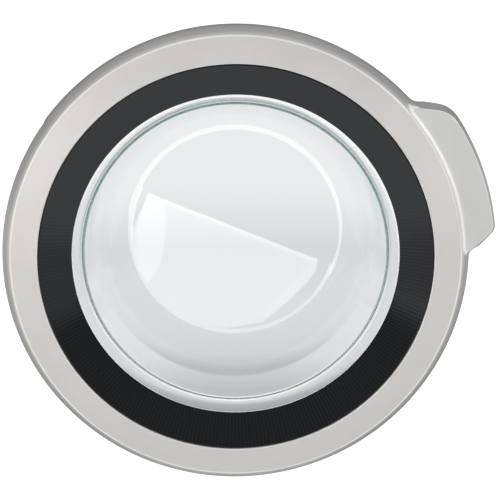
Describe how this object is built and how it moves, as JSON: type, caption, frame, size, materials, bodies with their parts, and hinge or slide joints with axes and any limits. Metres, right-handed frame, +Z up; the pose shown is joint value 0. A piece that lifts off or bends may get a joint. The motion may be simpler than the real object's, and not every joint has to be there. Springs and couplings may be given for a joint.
{
  "type": "washing machine door",
  "caption": "Round washing machine door: silver ring with a pull wing, dark dished trim and a pressed glass bowl, hung on a pin hinge and shut by a sprung latch hook.",
  "frame": {"origin": "on the axis of the glass bowl, in the plane of the cabinet's front that the hinge leaf lies on", "axes": "+Y along the bowl's axis into the machine, +Z up, +X towards the pull wing and the latch; the front looks along -Y"},
  "size_m": [0.4851, 0.1121, 0.46],
  "materials": {
    "silver_ring": "satin silver paint",
    "black_trim": "gloss black with fine radial lines",
    "glass": "clear pressed glass",
    "grey_frame": "fine grain moulded",
    "liner": "fine grain moulded",
    "zinc_steel": "zinc plated",
    "screw_steel": "zinc plated",
    "rubber": "matt",
    "bush_plastic": "smooth",
    "hook_metal": "cast, tumbled",
    "spring_steel": "drawn wire"
  },
  "bodies": {
    "hinge_base": {"hinge_bracket": "zinc_steel", "hinge_pin": "screw_steel", "hinge_pin_clip": "spring_steel"},
    "door": {"outer_frame": "silver_ring", "handle_liner": "liner", "trim_ring": "black_trim", "glass_bowl": "glass", "inner_frame": "grey_frame", "frame_screws": "screw_steel", "door_buffers": "rubber", "hinge_arm": "zinc_steel", "hinge_arm_screws": "screw_steel", "hinge_bush_upper": "bush_plastic", "hinge_bush_lower": "bush_plastic", "hook_pin": "screw_steel", "hook_spring": "spring_steel"},
    "hook": {"latch_hook": "hook_metal"}
  },
  "joints": [
    {"name": "door_hinge", "type": "hinge", "parent": "hinge_base", "child": "door", "pos_m": [-0.2145, -0.017, 0], "axis": [0, 0, -1], "range_deg": [0, 135]},
    {"name": "hook_pivot", "type": "hinge", "parent": "door", "child": "hook", "pos_m": [0.201, -0.015, 0], "axis": [0, 0, 1], "range_deg": [0, 12], "stiffness_Nm_per_rad": 0.5, "springref_deg": -20.05, "deforming": ["hook_spring"]}
  ]
}
